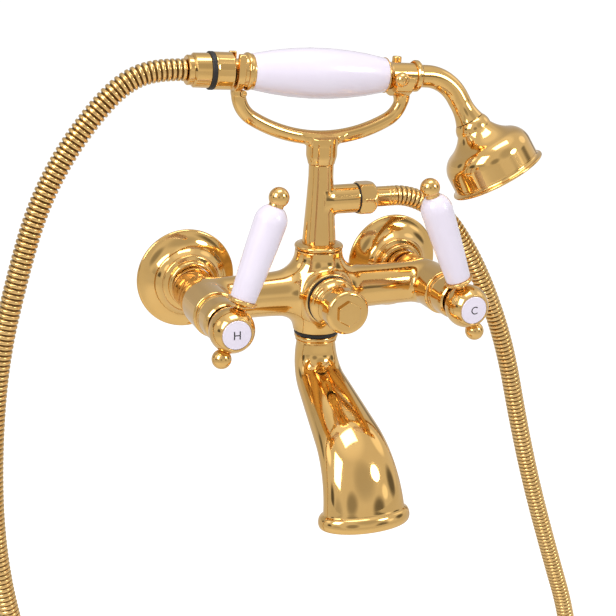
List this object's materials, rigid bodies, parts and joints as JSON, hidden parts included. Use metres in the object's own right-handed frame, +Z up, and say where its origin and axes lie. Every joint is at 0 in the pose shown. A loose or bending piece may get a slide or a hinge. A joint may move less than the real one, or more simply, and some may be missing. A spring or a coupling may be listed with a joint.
{
  "type": "bath shower mixer",
  "caption": "Wall-mounted bath shower mixer with lever handles, swivel spout, diverter knob and a hand shower resting on a cradle, with its hose.",
  "frame": {"origin": "on the finished wall, midway between the two supply pipes", "axes": "+X along the wall towards the cold side, +Y into the wall, +Z up"},
  "size_m": [0.4555, 0.1701, 0.626],
  "materials": {
    "polished_brass": "polished, gold-plated",
    "hose_brass": "ribbed, polished, gold-plated",
    "raw_brass": "machined",
    "porcelain": "glazed white",
    "ceramic": "lapped",
    "black_rubber": "satin",
    "fibre_washer": "matt fibre",
    "white_plastic": "moulded",
    "steel": "plain"
  },
  "bodies": {
    "fixture": {"mixer_body": "polished_brass", "left_wall_flange": "polished_brass", "right_wall_flange": "polished_brass", "left_union": "polished_brass", "right_union": "polished_brass", "union_washers": "fibre_washer", "hot_headwork": "raw_brass", "cold_headwork": "raw_brass", "hot_fixed_disc": "ceramic", "cold_fixed_disc": "ceramic", "hot_bonnet": "polished_brass", "cold_bonnet": "polished_brass", "riser_pipe": "polished_brass", "riser_ring": "polished_brass", "cradle_fork": "polished_brass", "cradle_screw": "polished_brass", "crutch_tips": "polished_brass", "outlet_nut": "polished_brass", "outlet_hose_ferrule": "polished_brass", "outlet_washer": "black_rubber", "shower_hose": "hose_brass", "diverter_cartridge": "raw_brass", "diverter_seal": "black_rubber"},
    "hot_lever": {"hot_spindle": "raw_brass", "hot_moving_disc": "ceramic", "hot_hub": "polished_brass", "hot_hub_screw": "steel", "hot_index_disc": "porcelain", "hot_lever_stem": "polished_brass", "hot_lever_grip": "porcelain", "hot_tip_ball": "polished_brass", "hot_lower_ball": "polished_brass"},
    "cold_lever": {"cold_spindle": "raw_brass", "cold_moving_disc": "ceramic", "cold_hub": "polished_brass", "cold_hub_screw": "steel", "cold_index_disc": "porcelain", "cold_lever_stem": "polished_brass", "cold_lever_grip": "porcelain", "cold_tip_ball": "polished_brass", "cold_lower_ball": "polished_brass"},
    "diverter": {"diverter_knob": "polished_brass", "diverter_spindle": "raw_brass"},
    "spout": {"spout": "polished_brass", "spout_ring": "polished_brass", "spout_seal": "black_rubber", "flow_straightener": "white_plastic"},
    "handset": {"handset_hose_nut": "polished_brass", "handset_hose_ferrule": "polished_brass", "handset_seal_ring": "black_rubber", "handset_nut": "polished_brass", "handset_ferrule": "polished_brass", "handset_grip": "porcelain", "handset_core_tube": "raw_brass", "handset_cap": "polished_brass", "handset_neck": "polished_brass", "shower_bell": "polished_brass", "spray_plate": "polished_brass", "bell_gasket": "black_rubber"}
  },
  "joints": [
    {"name": "hot_lever_turn", "type": "hinge", "parent": "fixture", "child": "hot_lever", "pos_m": [-0.0775, -0.1054, -0.0012], "axis": [0, -1, 0], "range_deg": [0, 90]},
    {"name": "cold_lever_turn", "type": "hinge", "parent": "fixture", "child": "cold_lever", "pos_m": [0.0775, -0.1054, -0.0012], "axis": [0, 1, 0], "range_deg": [0, 90]},
    {"name": "diverter_turn", "type": "hinge", "parent": "fixture", "child": "diverter", "pos_m": [0, -0.08, -0.0012], "axis": [0, 1, 0], "range_deg": [0, 90]},
    {"name": "spout_swivel", "type": "hinge", "parent": "fixture", "child": "spout", "pos_m": [0, -0.047, -0.035], "axis": [0, 0, 1], "range_deg": [-60, 60]},
    {"name": "handset_lift", "type": "slide", "parent": "fixture", "child": "handset", "axis": [0.0454, 0, 0.999], "range_m": [0, 0.06], "deforming": ["shower_hose"]}
  ]
}
